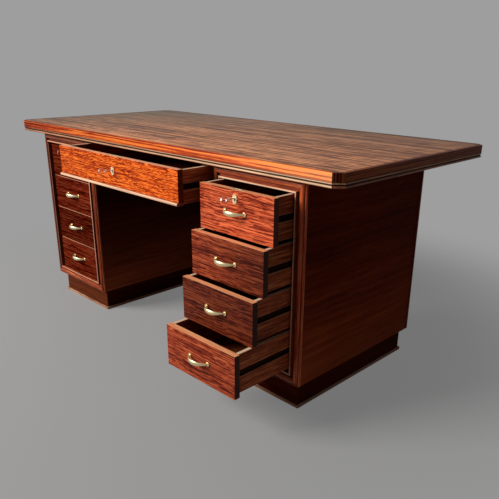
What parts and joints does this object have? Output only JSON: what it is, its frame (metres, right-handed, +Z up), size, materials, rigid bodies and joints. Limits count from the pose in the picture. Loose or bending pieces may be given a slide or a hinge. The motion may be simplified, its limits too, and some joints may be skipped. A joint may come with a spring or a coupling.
{
  "type": "kneehole writing desk",
  "caption": "Rosewood kneehole desk: clipped-corner top on two moulded pedestals of drawers with brass bow pulls, and a wide locking drawer between them.",
  "frame": {"origin": "on the floor, under the middle of the desk's overall box as it stands with its drawers part open", "axes": "+X along the desk to the right of someone who sits at it facing the drawers, +Y from the drawers towards the back, +Z up"},
  "size_m": [1.73, 1.022, 0.76],
  "materials": {
    "top_veneer": "satin rosewood veneer",
    "edge_veneer": "polished rosewood",
    "front_veneer": "polished rosewood veneer",
    "carcass_veneer": "polished dark rosewood veneer",
    "moulding": "polished rosewood",
    "shoe": "satin lighter wood",
    "drawer_lining": "satin stained wood",
    "frame_wood": "satin hardwood",
    "pull_brass": "polished pale brass",
    "lock_brass": "polished brass",
    "lock_steel": "satin steel",
    "key_steel": "bright steel"
  },
  "bodies": {
    "desk": {"top_panel": "top_veneer", "top_edge_band": "edge_veneer", "top_edge_bead": "edge_veneer", "cross_panel": "carcass_veneer", "centre_runners": "frame_wood", "right_outer_side": "carcass_veneer", "left_outer_side": "carcass_veneer", "right_inner_side": "carcass_veneer", "left_inner_side": "carcass_veneer", "right_bottom_board": "carcass_veneer", "left_bottom_board": "carcass_veneer", "right_back_panel": "carcass_veneer", "left_back_panel": "carcass_veneer", "right_top_rails": "frame_wood", "left_top_rails": "frame_wood", "right_runners": "frame_wood", "left_runners": "frame_wood", "right_front_frame": "moulding", "left_front_frame": "moulding", "right_plinth": "carcass_veneer", "left_plinth": "carcass_veneer", "back_frames": "moulding", "base_shoes": "shoe"},
    "right_drawer_1": {"right_drawer_1_front": "front_veneer", "right_drawer_1_box": "drawer_lining", "right_drawer_1_pull": "pull_brass", "right_drawer_1_lock": "lock_brass"},
    "right_drawer_1_key": {"right_drawer_1_key": "key_steel"},
    "right_drawer_1_lock_bolt": {"right_drawer_1_lock_bolt": "lock_steel"},
    "right_drawer_2": {"right_drawer_2_front": "front_veneer", "right_drawer_2_box": "drawer_lining", "right_drawer_2_pull": "pull_brass"},
    "right_drawer_3": {"right_drawer_3_front": "front_veneer", "right_drawer_3_box": "drawer_lining", "right_drawer_3_pull": "pull_brass"},
    "right_drawer_4": {"right_drawer_4_front": "front_veneer", "right_drawer_4_box": "drawer_lining", "right_drawer_4_pull": "pull_brass"},
    "left_drawer_1": {"left_drawer_1_front": "front_veneer", "left_drawer_1_box": "drawer_lining", "left_drawer_1_pull": "pull_brass", "left_drawer_1_lock": "lock_brass"},
    "left_drawer_1_key": {"left_drawer_1_key": "key_steel"},
    "left_drawer_1_lock_bolt": {"left_drawer_1_lock_bolt": "lock_steel"},
    "left_drawer_2": {"left_drawer_2_front": "front_veneer", "left_drawer_2_box": "drawer_lining", "left_drawer_2_pull": "pull_brass"},
    "left_drawer_3": {"left_drawer_3_front": "front_veneer", "left_drawer_3_box": "drawer_lining", "left_drawer_3_pull": "pull_brass"},
    "left_drawer_4": {"left_drawer_4_front": "front_veneer", "left_drawer_4_box": "drawer_lining", "left_drawer_4_pull": "pull_brass"},
    "centre_drawer": {"centre_drawer_front": "front_veneer", "centre_drawer_box": "drawer_lining", "centre_drawer_finger_lip": "moulding", "centre_drawer_lock": "lock_brass"},
    "centre_drawer_key": {"centre_drawer_key": "key_steel"},
    "centre_drawer_lock_bolt": {"centre_drawer_lock_bolt": "lock_steel"}
  },
  "joints": [
    {"name": "right_drawer_1_slide", "type": "slide", "parent": "desk", "child": "right_drawer_1", "axis": [0, -1, 0], "range_m": [-0.092, 0.308]},
    {"name": "right_drawer_1_key_turn", "type": "hinge", "parent": "right_drawer_1", "child": "right_drawer_1_key", "pos_m": [0.543, -0.3355, 0.656], "axis": [0, 1, 0], "range_deg": [0, 180]},
    {"name": "right_drawer_1_bolt_slide", "type": "slide", "parent": "right_drawer_1", "child": "right_drawer_1_lock_bolt", "axis": [0, 0, 1], "range_m": [0, 0.01]},
    {"name": "right_drawer_2_slide", "type": "slide", "parent": "desk", "child": "right_drawer_2", "axis": [0, -1, 0], "range_m": [-0.129, 0.271]},
    {"name": "right_drawer_3_slide", "type": "slide", "parent": "desk", "child": "right_drawer_3", "axis": [0, -1, 0], "range_m": [-0.169, 0.231]},
    {"name": "right_drawer_4_slide", "type": "slide", "parent": "desk", "child": "right_drawer_4", "axis": [0, -1, 0], "range_m": [-0.237, 0.163]},
    {"name": "left_drawer_1_slide", "type": "slide", "parent": "desk", "child": "left_drawer_1", "axis": [0, -1, 0], "range_m": [0, 0.4]},
    {"name": "left_drawer_1_key_turn", "type": "hinge", "parent": "left_drawer_1", "child": "left_drawer_1_key", "pos_m": [-0.543, -0.2435, 0.656], "axis": [0, 1, 0], "range_deg": [0, 180]},
    {"name": "left_drawer_1_bolt_slide", "type": "slide", "parent": "left_drawer_1", "child": "left_drawer_1_lock_bolt", "axis": [0, 0, 1], "range_m": [0, 0.01]},
    {"name": "left_drawer_2_slide", "type": "slide", "parent": "desk", "child": "left_drawer_2", "axis": [0, -1, 0], "range_m": [0, 0.4]},
    {"name": "left_drawer_3_slide", "type": "slide", "parent": "desk", "child": "left_drawer_3", "axis": [0, -1, 0], "range_m": [0, 0.4]},
    {"name": "left_drawer_4_slide", "type": "slide", "parent": "desk", "child": "left_drawer_4", "axis": [0, -1, 0], "range_m": [0, 0.4]},
    {"name": "centre_drawer_slide", "type": "slide", "parent": "desk", "child": "centre_drawer", "axis": [0, -1, 0], "range_m": [-0.141, 0.219]},
    {"name": "centre_drawer_key_turn", "type": "hinge", "parent": "centre_drawer", "child": "centre_drawer_key", "pos_m": [0, -0.3845, 0.669], "axis": [0, 1, 0], "range_deg": [0, 180]},
    {"name": "centre_drawer_bolt_slide", "type": "slide", "parent": "centre_drawer", "child": "centre_drawer_lock_bolt", "axis": [0, 0, 1], "range_m": [0, 0.01]}
  ],
  "couplings": [
    {"joint": "right_drawer_1_key_turn", "follows": "right_drawer_1_bolt_slide", "rad_per_m": 314},
    {"joint": "left_drawer_1_key_turn", "follows": "left_drawer_1_bolt_slide", "rad_per_m": 314},
    {"joint": "centre_drawer_key_turn", "follows": "centre_drawer_bolt_slide", "rad_per_m": 314}
  ]
}
